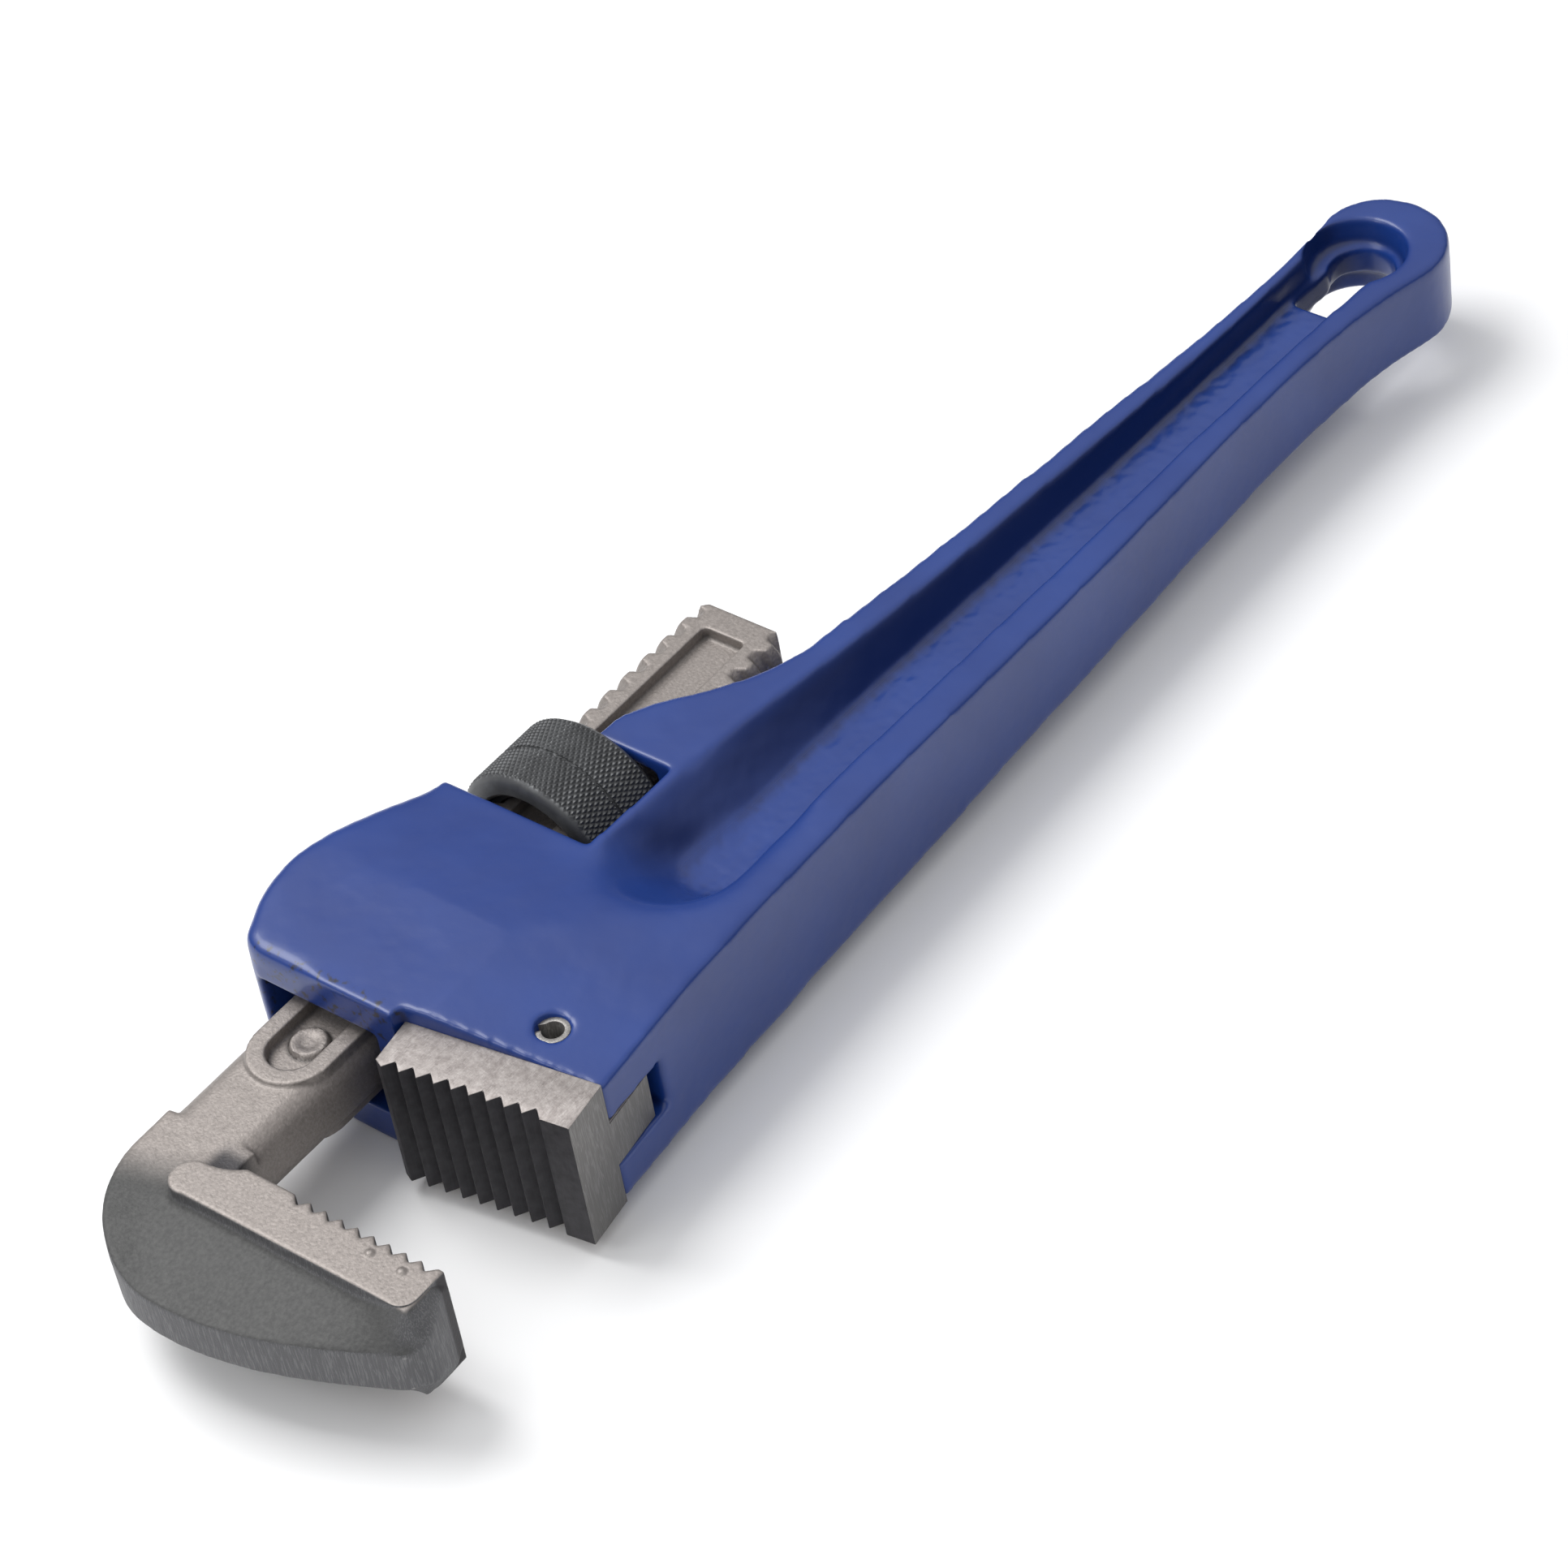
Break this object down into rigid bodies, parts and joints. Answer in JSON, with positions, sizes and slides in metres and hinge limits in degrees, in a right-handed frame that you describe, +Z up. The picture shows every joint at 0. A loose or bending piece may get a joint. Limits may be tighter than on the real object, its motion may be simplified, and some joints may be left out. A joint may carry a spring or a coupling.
{
  "type": "pipe wrench",
  "caption": "Adjustable pipe wrench with a cast handle and integral housing, a sliding toothed hook jaw, a knurled nut and a pinned heel jaw.",
  "frame": {"origin": "on the side of the head that faces down, below the shank's axis and level with the heel jaw", "axes": "+X along the hook jaw's shank toward the end of the handle, +Y toward the back of the wrench, +Z up through its thickness"},
  "size_m": [0.3377, 0.084, 0.035],
  "materials": {
    "enamel": "gloss",
    "forged_steel": "satin",
    "hardened_steel": "satin",
    "black_oxide": "satin",
    "spring_steel": "satin"
  },
  "bodies": {
    "handle_body": {"handle": "enamel", "heel_jaw": "hardened_steel", "heel_jaw_pin": "spring_steel", "spring_rivet": "spring_steel", "coil_spring": "spring_steel"},
    "jaw_rocker": {"leaf_spring": "spring_steel"},
    "sliding_jaw": {"hook_jaw": "forged_steel"},
    "nut": {"adjusting_nut": "black_oxide"}
  },
  "joints": [
    {"name": "jaw_rock", "type": "hinge", "parent": "handle_body", "child": "jaw_rocker", "pos_m": [0.0526, 0, 0.0175], "axis": [0, 0, -1], "range_deg": [0, 1.5], "stiffness_Nm_per_rad": 40, "springref_deg": -1.15, "deforming": ["leaf_spring", "coil_spring"]},
    {"name": "jaw_slide", "type": "slide", "parent": "jaw_rocker", "child": "sliding_jaw", "axis": [-1, 0, 0], "range_m": [-0.0235, 0.034]},
    {"name": "nut_spin", "type": "hinge", "parent": "jaw_rocker", "child": "nut", "pos_m": [0.0526, 0, 0.0175], "axis": [1, 0, 0], "range_deg": [-1530, 2200]}
  ],
  "couplings": [
    {"joint": "nut_spin", "follows": "jaw_slide", "rad_per_m": 1122}
  ]
}
